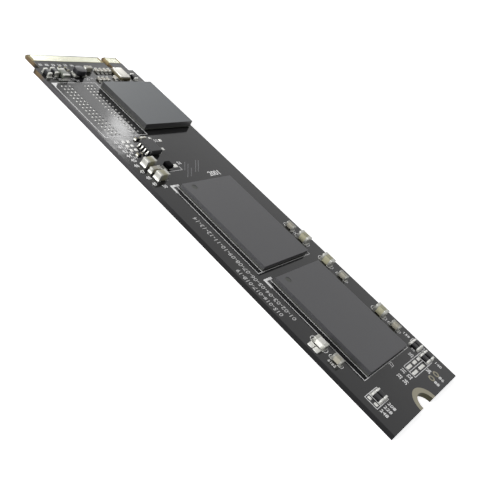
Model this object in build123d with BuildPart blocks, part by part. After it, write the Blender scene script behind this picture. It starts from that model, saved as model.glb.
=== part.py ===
"""Bare M.2 solid-state drive of the 2280 format, M key, with parts on its upper face only.

Millimetres. +X runs from the edge connector to the mounting notch, +Z is up from the bare underside,
and the origin is under the middle of the board.
"""
import os
from collections import namedtuple
from math import cos, floor, radians

from build123d import *

os.makedirs("parts", exist_ok=True)

# Board and edge connector
board_width = 22.0
board_thickness = 0.8
tongue_length = 4.0
shoulder_step = 1.075
edge_bevel = 0.2
key_centre_y = 6.125
key_width = 1.2
key_depth = 3.5
contact_pitch = 0.5
contact_width = 0.35
contact_thickness = 0.035
contact_setback = 0.35
contact_key_gap = 0.2
top_contact_length = 1.45
top_contact_inset = 0.675
bottom_contact_length = 2.5
bottom_contact_inset = 0.925
mask_gap = 0.1

# Mounting notch: a half hole on the end edge with a plated wall and land
notch_radius = 1.75
plating = 0.035
land_ring_width = 0.85

# Lengths that follow one another from the connector edge to the mounting edge
dram_outline_start = 7.9
dram_outline_margin = 0.9
power_zone_length = 12.6
flash_length = 18.0
flash_gap = 2.15
tail_length = 7.55

# Empty memory footprint, two blocks of round pads
dram_rows = 16
dram_pitch = 0.8
dram_columns = (-4, -3, -2, 2, 3, 4)
dram_pad_radius = 0.18
dram_centre_y = -5.95
dram_side_margin = 1.35
corner_mark_leg = 1.15

# Ball-grid packages
controller_start = 9.2
controller_size = 11.5
controller_centre_y = 4.45
controller_substrate = 0.26
controller_cap = 0.84
controller_ball_pitch = 0.8
controller_ball_rows = 13
flash_width = 12.0
flash_substrate = 0.2
flash_cap = 0.6
flash_ball_pitch = 1.0
flash_ball_columns = 16
flash_ball_rows = 11
ball_standoff = 0.1
ball_width = 0.4
dimple_radius = 0.5
dimple_depth = 0.05
dimple_inset_x = 1.05
dimple_inset_y = 1.9

# Eight-lead regulator
regulator_length = 2.9
regulator_width = 2.4
regulator_height = 0.9
regulator_clearance = 0.08
regulator_draft = 8
lead_pitch = 0.65
lead_count = 4
lead_width = 0.25
lead_thickness = 0.13
lead_shoulder = 0.12
lead_knee = 0.24
lead_reach = 0.5

# Crystal
crystal_length = 3.2
crystal_width = 2.5
crystal_base = 0.42
crystal_lid = 0.25
crystal_lid_inset = 0.15
crystal_corner = 0.25
crystal_land = 0.75

# Moulded chokes
Choke = namedtuple("Choke", "width length height corner tab_reach")
large_choke = Choke(1.8, 1.9, 1.1, 0.4, 0.3)
small_choke = Choke(1.25, 1.25, 0.85, 0.1, 0.15)
choke_bevel = 0.07
choke_tab_share = 0.75
choke_tab_thickness = 0.2

# Two-terminal chips: a body inside two dipped ends
Chip = namedtuple("Chip", "length width height end")
tall_cap = Chip(2.0, 1.25, 1.15, 0.5)
large_cap = Chip(2.0, 1.25, 0.75, 0.5)
small_cap = Chip(1.6, 0.8, 0.8, 0.35)
coupling_cap = Chip(1.0, 0.5, 0.4, 0.25)
resistor = Chip(1.6, 0.85, 0.36, 0.3)
small_resistor = Chip(1.0, 0.5, 0.35, 0.22)
small_bead = Chip(1.6, 0.8, 0.7, 0.35)
large_bead = Chip(2.0, 1.3, 0.85, 0.5)
end_wall = 0.03

# Lands, legend print and test points
land_thickness = 0.03
land_toe = 0.14
land_side = 0.04
legend_thickness = 0.02
legend_line = 0.11
flash_outline_gap = 1.1
flash_outline_end = 0.15
flash_mark_line = 0.42
flash_mark_back = 0.65
flash_mark_along = 1.3
flash_mark_across = 1.45
edge_row_offset = 1.6
bracket_half_angle = 50
bracket_share = 0.55
bracket_gap = 0.1
bracket_bends = 5
box_margin = 0.12
test_ring_radius = 0.54
test_ring_hole = 0.36
test_ring_pitch = 1.7
ring_sides = 16

# Places that follow from the sizes above
dram_outline_length = (dram_rows - 1) * dram_pitch + 2 * dram_outline_margin
dram_end = dram_outline_start + dram_outline_length
flash_a_start = dram_end + power_zone_length
flash_b_start = flash_a_start + flash_length + flash_gap
flash_end = flash_b_start + flash_length
board_length = flash_end + tail_length
half_length = board_length / 2
tongue_width = board_width - 2 * shoulder_step
flash_outline_half = flash_width / 2 + flash_outline_gap
edge_row_y = flash_outline_half + edge_row_offset
seat = board_thickness + land_thickness


def on_board(x, y, turn=0):
    """A place on the board, from the distance to the connector edge and the distance off the centre line."""
    return Location((x - half_length, y, 0), turn)


# Two-terminal chips: their places, with the quarter turn that lays a chip across the board
across = 90
tall_cap_places = [
    on_board(dram_end + 6.85, -7.65, across),
    on_board(dram_end + 9.95, -7.7, across),
    on_board(flash_a_start + 15.35, edge_row_y),
    on_board(flash_b_start + 0.4, edge_row_y),
    on_board(flash_b_start + 11.6, edge_row_y),
]
large_cap_x = flash_b_start + 10.95
large_cap_places = [on_board(large_cap_x, -edge_row_y)]
small_cap_places = [
    on_board(flash_a_start + 12.45, edge_row_y),
    on_board(flash_b_start + 3.85, edge_row_y),
    on_board(flash_b_start + 14.65, edge_row_y),
    on_board(flash_b_start + 14.05, -edge_row_y),
    on_board(dram_end + 8.4, -7.8, across),
    on_board(4.5, -0.5, across),
]
coupling_row_pitch = 0.95
coupling_cap_places = [on_board(4.6, 4.4 - k * coupling_row_pitch) for k in range(4)]
coupling_cap_places += [on_board(7.15, 2.0 - k * coupling_row_pitch) for k in range(3)]
coupling_cap_places += [on_board(6.7, 4.2), on_board(dram_end + 1.05, -3.4, across)]
coupling_cap_places += [on_board(dram_end + 8.1, -6.2)]
tail_row_pitch = 1.15
tail_row_x = flash_end + 2.75
tail_row_y = -6.8
tail_pair_x = flash_end + 2.9
tail_pair_rows = (9.5, 8.1)
corner_pair_x = flash_end + 0.65
corner_pair_rows = (9.75, 8.65)
resistor_places = [on_board(tail_row_x, tail_row_y - k * tail_row_pitch) for k in range(2)]
resistor_places += [on_board(tail_pair_x, y) for y in tail_pair_rows]
resistor_places += [on_board(corner_pair_x, y) for y in corner_pair_rows]
resistor_places += [on_board(6.3, 9.1)]
small_resistor_places = [on_board(4.45, -4.95), on_board(4.3, -6.05)]
small_resistor_places += [on_board(dram_end + 4.55, -7.4, across), on_board(dram_end + 1.05, -4.72, across)]
small_bead_places = [on_board(5.65, -9.85), on_board(5.4, -8.3)]
large_bead_places = [on_board(6.1, -7.05)]
chokes = [
    ("choke_a", large_choke, on_board(5.55, -3.2)),
    ("choke_b", small_choke, on_board(dram_end + 8.0, -4.4)),
]
crystal_place = on_board(5.7, 6.3)
regulator_place = on_board(dram_end + 3.55, -4.2)

# Board: outline, key slot, notch, sunk windows for the plating, bevelled leading edge
key_place = (-half_length, key_centre_y)
notch_place = (half_length, 0)
ring_radius = notch_radius + land_ring_width
top_window = contact_setback + top_contact_length + mask_gap
bottom_window = contact_setback + bottom_contact_length + mask_gap
with BuildPart() as board:
    with BuildSketch():
        Rectangle(board_length, board_width)
        with Locations((-half_length, -board_width / 2), (-half_length, board_width / 2)):
            Rectangle(2 * tongue_length, 2 * shoulder_step, mode=Mode.SUBTRACT)
        with Locations(key_place):
            SlotOverall(2 * key_depth, key_width, mode=Mode.SUBTRACT)
        with Locations(notch_place):
            Circle(notch_radius + plating, mode=Mode.SUBTRACT)
    extrude(amount=board_thickness)
    with BuildSketch(Plane.XY.offset(board_thickness)):
        with Locations(notch_place):
            Circle(ring_radius)
        with Locations((-half_length, 0)):
            Rectangle(2 * top_window, tongue_width)
    extrude(amount=-contact_thickness, mode=Mode.SUBTRACT)
    with BuildSketch():
        with Locations(notch_place):
            Circle(ring_radius)
        with Locations((-half_length, 0)):
            Rectangle(2 * bottom_window, tongue_width)
    extrude(amount=contact_thickness, mode=Mode.SUBTRACT)
    leading_edges = board.edges().filter_by(Axis.Y).group_by(Axis.X)[0]
    chamfer(leading_edges, length=edge_bevel)
board.part.label = "board"
export_step(board.part, "parts/board.step")


def contact_rows(inset):
    """The contacts' distances off the centre line, without those that the key slot takes."""
    count = floor((tongue_width - 2 * inset) / contact_pitch + 1e-6) + 1
    first = -tongue_width / 2 + inset
    clear = key_width / 2 + contact_width / 2 + contact_key_gap
    rows = [first + k * contact_pitch for k in range(count)]
    return [y for y in rows if abs(y - key_centre_y) > clear]


# Gold contacts, level with the solder mask on each face
with BuildPart() as top_contacts:
    with BuildSketch(Plane.XY.offset(board_thickness - contact_thickness)):
        contact_x = contact_setback + top_contact_length / 2 - half_length
        with Locations(*[(contact_x, y) for y in contact_rows(top_contact_inset)]):
            Rectangle(top_contact_length, contact_width)
    extrude(amount=contact_thickness)
top_contacts.part.label = "top_contacts"
export_step(top_contacts.part, "parts/top_contacts.step")

with BuildPart() as bottom_contacts:
    with BuildSketch():
        contact_x = contact_setback + bottom_contact_length / 2 - half_length
        with Locations(*[(contact_x, y) for y in contact_rows(bottom_contact_inset)]):
            Rectangle(bottom_contact_length, contact_width)
    extrude(amount=contact_thickness)
bottom_contacts.part.label = "bottom_contacts"
export_step(bottom_contacts.part, "parts/bottom_contacts.step")

# Plated ring: the wall of the notch with a land on each face, turned through half a circle
ring_plane = Plane(origin=(half_length, 0, 0), x_dir=(0, 1, 0), z_dir=(1, 0, 0))
with BuildPart() as mount_ring:
    with BuildSketch(ring_plane):
        with BuildLine():
            Polyline(
                (notch_radius, 0),
                (ring_radius, 0),
                (ring_radius, contact_thickness),
                (notch_radius + plating, contact_thickness),
                (notch_radius + plating, board_thickness - contact_thickness),
                (ring_radius, board_thickness - contact_thickness),
                (ring_radius, board_thickness),
                (notch_radius, board_thickness),
                close=True,
            )
        make_face()
    revolve(axis=Axis((half_length, 0, 0), (0, 0, 1)), revolution_arc=180)
mount_ring.part.label = "mount_ring"
export_step(mount_ring.part, "parts/mount_ring.step")

# Bare pads of the empty memory footprint
dram_centre_x = dram_outline_start + dram_outline_length / 2
with BuildPart() as dram_pads:
    with BuildSketch(Plane.XY.offset(board_thickness)):
        for column in dram_columns:
            pad_y = dram_centre_y + column * dram_pitch
            with Locations(on_board(dram_centre_x, pad_y)):
                with GridLocations(dram_pitch, dram_pitch, dram_rows, 1):
                    RegularPolygon(dram_pad_radius, side_count=6)
    extrude(amount=land_thickness)
dram_pads.part.label = "dram_pads"
export_step(dram_pads.part, "parts/dram_pads.step")


def ball_grid_package(label, place, length, width, substrate_height, cap_height, pitch, columns, rows, marked):
    """Makes a package in three nodes: its ring of solder balls, its laminate and its moulded cap."""
    substrate_z = board_thickness + ball_standoff
    cap_z = substrate_z + substrate_height
    with BuildPart() as balls:
        with BuildSketch(Plane.XY.offset(board_thickness)):
            with Locations(place):
                with GridLocations(pitch, (rows - 1) * pitch, columns, 2):
                    Rectangle(ball_width, ball_width)
                with GridLocations((columns - 1) * pitch, pitch, 2, rows - 2):
                    Rectangle(ball_width, ball_width)
        extrude(amount=ball_standoff)
    with BuildPart() as substrate:
        with BuildSketch(Plane.XY.offset(substrate_z)):
            with Locations(place):
                Rectangle(length, width)
        extrude(amount=substrate_height)
    with BuildPart() as cap:
        with BuildSketch(Plane.XY.offset(cap_z)):
            with Locations(place):
                Rectangle(length, width)
        extrude(amount=cap_height)
        if marked:
            with BuildSketch(Plane.XY.offset(cap_z + cap_height)):
                with Locations(place):
                    with Locations((dimple_inset_x - length / 2, dimple_inset_y - width / 2)):
                        Circle(dimple_radius)
            extrude(amount=-dimple_depth, mode=Mode.SUBTRACT)
    for piece, name in ((balls, "balls"), (substrate, "substrate"), (cap, "cap")):
        piece.part.label = f"{label}_{name}"
        export_step(piece.part, f"parts/{label}_{name}.step")


# Controller and the two flash packages
controller_place = on_board(controller_start + controller_size / 2, controller_centre_y)
ball_grid_package(
    "controller", controller_place, controller_size, controller_size, controller_substrate, controller_cap,
    controller_ball_pitch, controller_ball_rows, controller_ball_rows, marked=False,
)
for flash_name, flash_start in (("flash_a", flash_a_start), ("flash_b", flash_b_start)):
    ball_grid_package(
        flash_name, on_board(flash_start + flash_length / 2, 0), flash_length, flash_width, flash_substrate,
        flash_cap, flash_ball_pitch, flash_ball_columns, flash_ball_rows, marked=True,
    )

# Regulator body: a straight band at the lead frame, drafted towards the top and the bottom
body_bottom = seat + regulator_clearance
body_top = seat + regulator_height
frame_bottom = (body_bottom + body_top - lead_thickness) / 2
frame_top = frame_bottom + lead_thickness
with BuildPart() as regulator_body:
    with BuildSketch(Plane.XY.offset(frame_bottom)):
        with Locations(regulator_place):
            Rectangle(regulator_length, regulator_width)
    extrude(amount=lead_thickness)
    with BuildSketch(Plane.XY.offset(frame_top)):
        with Locations(regulator_place):
            Rectangle(regulator_length, regulator_width)
    extrude(amount=body_top - frame_top, taper=regulator_draft)
    with BuildSketch(Plane.XY.offset(frame_bottom)):
        with Locations(regulator_place):
            Rectangle(regulator_length, regulator_width)
    extrude(amount=body_bottom - frame_bottom, taper=regulator_draft)
regulator_body.part.label = "regulator_body"
export_step(regulator_body.part, "parts/regulator_body.step")

# One gull-wing lead beside the body, then four along each side
lead_root = regulator_width / 2
with BuildPart() as gull_lead:
    with BuildSketch(Plane.YZ):
        with BuildLine():
            Polyline(
                (lead_root, frame_bottom),
                (lead_root, frame_top),
                (lead_root + lead_shoulder + lead_thickness, frame_top),
                (lead_root + lead_knee + lead_thickness, seat + lead_thickness),
                (lead_root + lead_reach, seat + lead_thickness),
                (lead_root + lead_reach, seat),
                (lead_root + lead_knee, seat),
                (lead_root + lead_shoulder, frame_bottom),
                close=True,
            )
        make_face()
    extrude(amount=lead_width / 2, both=True)

lead_steps = [(k - (lead_count - 1) / 2) * lead_pitch for k in range(lead_count)]
lead_places = [Location((x, 0, 0), turn) for turn in (0, 180) for x in lead_steps]
with BuildPart() as regulator_leads:
    with Locations(regulator_place):
        with Locations(*lead_places):
            add(gull_lead.part)
regulator_leads.part.label = "regulator_leads"
export_step(regulator_leads.part, "parts/regulator_leads.step")

# Crystal: a ceramic base with hollowed corners under a welded metal lid
with BuildPart() as crystal_base_part:
    with BuildSketch(Plane.XY.offset(seat)):
        with Locations(crystal_place):
            Rectangle(crystal_length, crystal_width)
            with GridLocations(crystal_length, crystal_width, 2, 2):
                Circle(crystal_corner, mode=Mode.SUBTRACT)
    extrude(amount=crystal_base)
crystal_base_part.part.label = "crystal_base"
export_step(crystal_base_part.part, "parts/crystal_base.step")

with BuildPart() as crystal_lid_part:
    with BuildSketch(Plane.XY.offset(seat + crystal_base)):
        with Locations(crystal_place):
            RectangleRounded(
                crystal_length - 2 * crystal_lid_inset, crystal_width - 2 * crystal_lid_inset, crystal_corner
            )
    extrude(amount=crystal_lid)
crystal_lid_part.part.label = "crystal_lid"
export_step(crystal_lid_part.part, "parts/crystal_lid.step")

# Chokes: two moulded blocks with cut corners, each with a tinned tab at both ends
choke_body_z = seat + choke_tab_thickness
for choke_name, choke_size, choke_place in chokes:
    with BuildPart() as choke:
        with BuildSketch(Plane.XY.offset(choke_body_z)) as choke_outline:
            with Locations(choke_place):
                Rectangle(choke_size.width, choke_size.length)
            chamfer(choke_outline.vertices(), length=choke_size.corner)
        extrude(amount=choke_size.height - choke_tab_thickness)
        chamfer(choke.faces().sort_by(Axis.Z)[-1].edges(), length=choke_bevel)
    choke.part.label = f"{choke_name}_body"
    export_step(choke.part, f"parts/{choke_name}_body.step")


def choke_tab_pair(size, place, margin):
    """Draws the two tabs of a choke, wider by a margin all round."""
    tab_length = size.tab_reach + size.length / 3
    tab_offset = size.length / 2 + size.tab_reach - tab_length / 2
    with Locations(place):
        with Locations((0, -tab_offset), (0, tab_offset)):
            Rectangle(choke_tab_share * size.width + 2 * margin, tab_length + 2 * margin)


with BuildPart() as choke_tabs:
    with BuildSketch(Plane.XY.offset(seat)):
        for choke_name, choke_size, choke_place in chokes:
            choke_tab_pair(choke_size, choke_place, 0)
    extrude(amount=choke_tab_thickness)
choke_tabs.part.label = "choke_tabs"
export_step(choke_tabs.part, "parts/choke_tabs.step")


def chip_family(label, size, places):
    """Makes one family of chips in two nodes: the bodies, and the dipped ends that hold them."""
    inner_length = size.length - 2 * end_wall
    inner_width = size.width - 2 * end_wall
    inner_height = size.height - 2 * end_wall
    upright = (Align.CENTER, Align.CENTER, Align.MIN)
    with BuildPart() as body:
        with Locations((0, 0, seat + end_wall)):
            Box(inner_length, inner_width, inner_height, align=upright)
    with BuildPart() as ends:
        end_x = (size.length - size.end) / 2
        with Locations((-end_x, 0, seat), (end_x, 0, seat)):
            Box(size.end, size.width, size.height, align=upright)
        with Locations((0, 0, seat + end_wall)):
            Box(inner_length, inner_width, inner_height, align=upright, mode=Mode.SUBTRACT)
    with BuildPart() as bodies:
        with Locations(*places):
            add(body.part)
    with BuildPart() as end_pairs:
        with Locations(*places):
            add(ends.part)
    for piece, name in ((bodies, "bodies"), (end_pairs, "ends")):
        piece.part.label = f"{label}_{name}"
        export_step(piece.part, f"parts/{label}_{name}.step")


# Capacitors, resistors and beads
chip_families = (
    ("tall_cap", tall_cap, tall_cap_places),
    ("large_cap", large_cap, large_cap_places),
    ("small_cap", small_cap, small_cap_places),
    ("coupling_cap", coupling_cap, coupling_cap_places),
    ("resistor", resistor, resistor_places),
    ("small_resistor", small_resistor, small_resistor_places),
    ("small_bead", small_bead, small_bead_places),
    ("large_bead", large_bead, large_bead_places),
)
for family, chip_size, chip_places in chip_families:
    chip_family(family, chip_size, chip_places)

# Tinned lands under the fitted parts
lead_foot = lead_reach - lead_knee + land_toe
lead_land_y = lead_root + lead_reach + land_toe - lead_foot / 2
with BuildPart() as part_lands:
    with BuildSketch(Plane.XY.offset(board_thickness)):
        for family, chip_size, chip_places in chip_families:
            land_length = chip_size.end + land_toe
            land_x = chip_size.length / 2 + land_toe - land_length / 2
            with Locations(*chip_places):
                with Locations((-land_x, 0), (land_x, 0)):
                    Rectangle(land_length, chip_size.width + 2 * land_side)
        for choke_name, choke_size, choke_place in chokes:
            choke_tab_pair(choke_size, choke_place, land_side)
        with Locations(regulator_place):
            with GridLocations(lead_pitch, 2 * lead_land_y, lead_count, 2):
                Rectangle(lead_width + 2 * land_side, lead_foot)
        with Locations(crystal_place):
            with GridLocations(crystal_length - crystal_land, crystal_width - crystal_land, 2, 2):
                Rectangle(crystal_land + land_toe, crystal_land + land_toe)
    extrude(amount=land_thickness)
part_lands.part.label = "part_lands"
export_step(part_lands.part, "parts/part_lands.step")

# Bare lands of the footprints that carry nothing
spare_land = (0.6, 0.5)
choke_land = (0.75, 0.95)
spare_cap_land = (0.85, 1.05)
spare_cap_gap = 0.12
column_land_width = 0.5
column_step = 0.55
column_lands = ((-1, 6.85, 0.8), (-1, 5.4, 1.1), (-1, 3.45, 1.5), (1, 5.8, 1.7), (1, 3.45, 1.5))
with BuildPart() as bare_lands:
    with BuildSketch(Plane.XY.offset(board_thickness)):
        with Locations(on_board(dram_end + 2.35, -7.4)):
            with GridLocations(1.0, 1.0, 3, 2):
                Rectangle(*spare_land)
        for land_x, land_y in ((1.1, -1.75), (1.75, 0.0), (3.8, -1.3)):
            with Locations(on_board(dram_end + land_x, land_y)):
                Rectangle(*spare_land)
        with Locations(on_board(dram_end + 7.85, -2.3)):
            Rectangle(*choke_land)
        with Locations(on_board(tail_row_x, tail_row_y - 2 * tail_row_pitch)):
            with GridLocations(1.1, 1.0, 2, 1):
                Rectangle(*spare_land)
        spare_cap_y = -edge_row_y - large_cap.width / 2 - land_side - spare_cap_gap - spare_cap_land[1] / 2
        with Locations(on_board(large_cap_x, spare_cap_y)):
            with GridLocations(spare_cap_land[0] + mask_gap, 1.0, 2, 1):
                Rectangle(*spare_cap_land)
        for side, land_y, land_length in column_lands:
            with Locations(on_board(tail_pair_x + side * column_step, land_y)):
                Rectangle(column_land_width, land_length)
    extrude(amount=land_thickness)
bare_lands.part.label = "bare_lands"
export_step(bare_lands.part, "parts/bare_lands.step")

# Two round test points
with BuildPart() as test_points:
    with BuildSketch(Plane.XY.offset(board_thickness)):
        with Locations(on_board(flash_end + 5.5, 6.35)):
            with GridLocations(1.0, test_ring_pitch, 1, 2):
                RegularPolygon(test_ring_radius, side_count=ring_sides)
                RegularPolygon(test_ring_hole, side_count=ring_sides, mode=Mode.SUBTRACT)
    extrude(amount=land_thickness)
test_points.part.label = "test_points"
export_step(test_points.part, "parts/test_points.step")


def legend_bar(x0, y0, x1, y1, line=legend_line):
    """Prints a straight line of the legend between two places on the board, along or across it."""
    with Locations(on_board((x0 + x1) / 2, (y0 + y1) / 2)):
        Rectangle(abs(x1 - x0) + line, abs(y1 - y0) + line)


def legend_box(x0, y0, x1, y1):
    """Prints the four sides of a box of the legend."""
    for y in (y0, y1):
        legend_bar(x0, y, x1, y)
    for x in (x0, x1):
        legend_bar(x, y0, x, y1)


# Printed legend: package outlines, corner marks, footprint boxes, and round brackets beside the edge capacitors
dram_low_y = dram_centre_y + dram_columns[0] * dram_pitch - dram_side_margin
dram_high_y = dram_centre_y + dram_columns[-1] * dram_pitch + dram_side_margin
chip_box_half = resistor.length / 2 + land_toe + box_margin
bracketed_chips = [(place, large_cap) for place in large_cap_places]
bracketed_chips += [(place, small_cap) for place in small_cap_places[:4]]
bracketed_chips += [(place, tall_cap) for place in tall_cap_places[2:]]
bracket_angles = [bracket_half_angle * (2 * k / bracket_bends - 1) for k in range(bracket_bends + 1)]
with BuildPart() as legend:
    with BuildSketch(Plane.XY.offset(board_thickness)):
        for flash_start in (flash_a_start, flash_b_start):
            outline_end = flash_start + flash_length + flash_outline_end
            mark_x = flash_start - flash_mark_back
            inner_y = (flash_width + legend_line) / 2
            for side, bar_x in ((-1, mark_x), (1, flash_start + 0.3)):
                legend_bar(bar_x, side * flash_outline_half, outline_end, side * flash_outline_half)
                legend_bar(bar_x, side * inner_y, outline_end, side * inner_y)
            legend_bar(outline_end, -flash_outline_half, outline_end, flash_outline_half)
            mark_y = -flash_outline_half
            legend_bar(mark_x, mark_y, mark_x + flash_mark_along, mark_y, flash_mark_line)
            legend_bar(mark_x, mark_y, mark_x, mark_y + flash_mark_across, flash_mark_line)
        legend_box(dram_outline_start, dram_low_y, dram_end, dram_high_y)
        corner_x = dram_outline_start - half_length
        with BuildLine():
            Polyline(
                (corner_x, dram_low_y),
                (corner_x + corner_mark_leg, dram_low_y),
                (corner_x, dram_low_y + corner_mark_leg),
                close=True,
            )
        make_face()
        for place, chip_size in bracketed_chips:
            radius = bracket_share * chip_size.width
            bracket_end = chip_size.length / 2 + land_toe + bracket_gap
            arc_offset = bracket_end - radius * cos(radians(bracket_half_angle))
            for side in (-1, 1):
                arc_centre = place.position + Vector(side * arc_offset, 0)
                outer_arm = Vector(side * (radius + legend_line / 2), 0)
                inner_arm = Vector(side * (radius - legend_line / 2), 0)
                outer_points = [arc_centre + outer_arm.rotate(Axis.Z, angle) for angle in bracket_angles]
                inner_points = [arc_centre + inner_arm.rotate(Axis.Z, angle) for angle in bracket_angles]
                with BuildLine():
                    Polyline(*outer_points, *reversed(inner_points), close=True)
                make_face()
        row_low_y = tail_row_y - 2.5 * tail_row_pitch
        row_high_y = tail_row_y + 0.5 * tail_row_pitch
        legend_box(tail_row_x - chip_box_half, row_low_y, tail_row_x + chip_box_half, row_high_y)
        for k in (0.5, 1.5):
            row_y = tail_row_y - k * tail_row_pitch
            legend_bar(tail_row_x - chip_box_half, row_y, tail_row_x + chip_box_half, row_y)
        pair_middle_y = (tail_pair_rows[0] + tail_pair_rows[1]) / 2
        column_high_y = tail_pair_rows[1] - 0.7
        column_low_y = 2.5
        pair_left = tail_pair_x - chip_box_half
        pair_right = tail_pair_x + chip_box_half
        legend_box(pair_left, column_low_y, pair_right, pair_middle_y)
        legend_bar(pair_left, column_high_y, pair_right, column_high_y)
        legend_bar(tail_pair_x, column_low_y, tail_pair_x, column_high_y)
        corner_left = corner_pair_x - chip_box_half
        corner_middle_y = (corner_pair_rows[0] + corner_pair_rows[1]) / 2
        legend_box(corner_left, corner_middle_y, pair_left, corner_pair_rows[0] + 0.6)
        choke_right = dram_end + 8.9
        legend_bar(choke_right, -5.0, choke_right, -1.6)
        legend_bar(choke_right - 0.7, -1.6, choke_right, -1.6)
    extrude(amount=legend_thickness)
legend.part.label = "legend"
export_step(legend.part, "parts/legend.step")
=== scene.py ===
"""Finishes the solids of a bare M.2 solid-state drive, adds solder and print, and sets a studio.

Every piece is in metres in the solids' own frame: +X from the edge connector to the mounting
notch, +Z up. Shapes are worked out in millimetres and scaled once, when a piece is made.
"""

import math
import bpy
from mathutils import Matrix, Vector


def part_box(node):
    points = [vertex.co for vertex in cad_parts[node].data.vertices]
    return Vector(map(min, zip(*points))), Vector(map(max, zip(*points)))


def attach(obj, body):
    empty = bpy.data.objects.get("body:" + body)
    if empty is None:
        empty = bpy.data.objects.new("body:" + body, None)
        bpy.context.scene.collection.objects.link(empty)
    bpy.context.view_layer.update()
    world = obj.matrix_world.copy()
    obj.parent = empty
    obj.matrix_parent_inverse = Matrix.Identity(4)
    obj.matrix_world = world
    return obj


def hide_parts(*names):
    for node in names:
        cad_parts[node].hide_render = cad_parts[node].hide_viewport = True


bl_info = {
    "name": "Bare M.2 drive",
    "version": (1, 0, 0),
    "blender": (4, 5, 0),
    "location": "View3D > Sidebar > Drive",
    "description": "Finishes the solids of a bare M.2 solid-state drive and sets a studio round it",
    "category": "Object",
}

import bmesh
import bpy
import numpy as np
from bpy.props import FloatProperty, FloatVectorProperty, PointerProperty
from mathutils import Vector

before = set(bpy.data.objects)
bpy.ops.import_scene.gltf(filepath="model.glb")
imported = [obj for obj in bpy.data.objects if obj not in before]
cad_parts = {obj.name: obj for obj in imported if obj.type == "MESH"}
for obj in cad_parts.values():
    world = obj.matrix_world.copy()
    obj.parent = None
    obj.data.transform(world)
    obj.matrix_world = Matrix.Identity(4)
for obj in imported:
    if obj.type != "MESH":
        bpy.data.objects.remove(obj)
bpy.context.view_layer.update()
MM = 0.001
BODY = "root"
# The board's leading edge, its top and the middle of that edge, in millimetres
CONNECTOR_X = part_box("board")[0][0] / MM
BOARD_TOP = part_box("board")[1][2] / MM
EDGE_MIDDLE = np.array([CONNECTOR_X, 0.0])
FLASH_CAPS = ("flash_a_cap", "flash_b_cap")
BALL_NODES = ("controller_balls", "flash_a_balls", "flash_b_balls")
# The ceramic of each family of chips
CHIPS = {"tall_cap": "olive", "large_cap": "cream", "small_cap": "sage", "coupling_cap": "bone",
         "resistor": "dark", "small_resistor": "dark", "small_bead": "dark", "large_bead": "bead"}

# Bare places of the board, in millimetres from its leading edge, centre line or faces
TONGUE_LENGTH = 4.02
LIP_LENGTH = 0.36
SLOT_ZONE = 9.0
# Where the key slot's wall takes painted light, paler near its mouth
SLOT_PALE_MIDDLE, SLOT_PALE_HALF = 1.2, 0.7
EDGE_DEPTH, FLANK_DEPTH = 0.03, 0.04
SAWN_ROUGHNESS = (0.8, 0.8, 0.8, 1.0)
# Covered traces: start from the leading edge and off the centre line, and run along the board
TRACES = np.array([(29.0, 0.63, 1.85), (29.55, 0.84, 2.85), (30.5, 0.73, 1.8),
                   (28.9, 3.42, 2.6), (29.05, 3.95, 2.48)])
TRACE_SLOPE = -1.02
# How far the lip keeps from the contacts and runs past them, and how far marks rise over a face
LIP_GAP, LIP_PAST = 0.005, 0.15
EJECTOR_RISE, CORNER_MARK_RISE = 0.01, 0.005
# Profiles of round forms: a share of the height and a share of the radius
PAD_DOME = ((0.0, 1.0), (0.35, 0.98), (0.7, 0.82), (0.92, 0.5), (1.0, 0.18))
BALL_BARREL = ((0.0, 0.8), (0.2, 0.96), (0.5, 1.04), (0.8, 0.96), (1.0, 0.8))
VIA_PLUG = ((0.0, 1.0), (0.7, 0.9), (1.0, 0.6))
MARK_DISC = ((0.0, 0.96), (1.0, 0.96))
# Ways that print reads, in degrees from +X, and how far a letter's outline is fattened
UP, LEFT, RIGHT = 90, 180, 0
BOLD, LIGHT = 0.016, 0.006
# Height of a font's digits as a share of its size
DIGIT_SHARE = 0.7

# Lamps and camera, in metres: each lamp's width and place, the point that all of them face, and
# the camera's place and its turn as a quaternion
LAMPS = {"key": (0.026, (-0.303, 0.368, 0.24)), "haze": (0.08, (-0.325, 0.369, 0.24)),
         "rim": (0.14, (-0.48, 0.34, 0.18)), "fill": (0.35, (-0.28, -0.58, 0.17)),
         "top": (0.3, (-0.25, -0.1, 0.5))}
LAMP_AIM = (-0.018, -0.004, 0.001)
CAMERA_PLACE = (0.0401789, -0.0853846, 0.0518292)
CAMERA_TURN = (0.766194, 0.497082, -0.044598, 0.404805)
# The rest of the studio, in millimetres
SENSOR, FOCAL_LENGTH = 36.0, 52.965
FLOOR_RADII, FLOOR_DROP = (1.0, 60.0, 400.0, 1600.0), 0.02
WHITE = (1.0, 1.0, 1.0, 1.0)

# Sockets of a Mix node for colours, which go by number because its kinds share their names
FACTOR, COLOUR_A, COLOUR_B, COLOUR_OUT = 0, 6, 7, 2


def linear(code):
    """Turns an sRGB hex value into linear red, green and blue with alpha one."""
    value = np.array([int(code[k:k + 2], 16) for k in (1, 3, 5)]) / 255
    low = value / 12.92
    high = ((value + 0.055) / 1.055) ** 2.4
    return (*np.where(value <= 0.04045, low, high).tolist(), 1.0)


def colour(name, code, what):
    """A colour that a user may change, with its sRGB hex value as the default."""
    return FloatVectorProperty(name=name, description=what, subtype="COLOR", size=4, min=0, max=1,
                               default=linear(code))


def length(name, size, what):
    """A length in millimetres that a user may change."""
    return FloatProperty(name=name, description=what + ", in millimetres", default=size, min=0)


def level(name, value, what, **kind):
    """A share, a brightness or a power that a user may change."""
    return FloatProperty(name=name, description=what, default=value, min=0, **kind)


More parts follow.
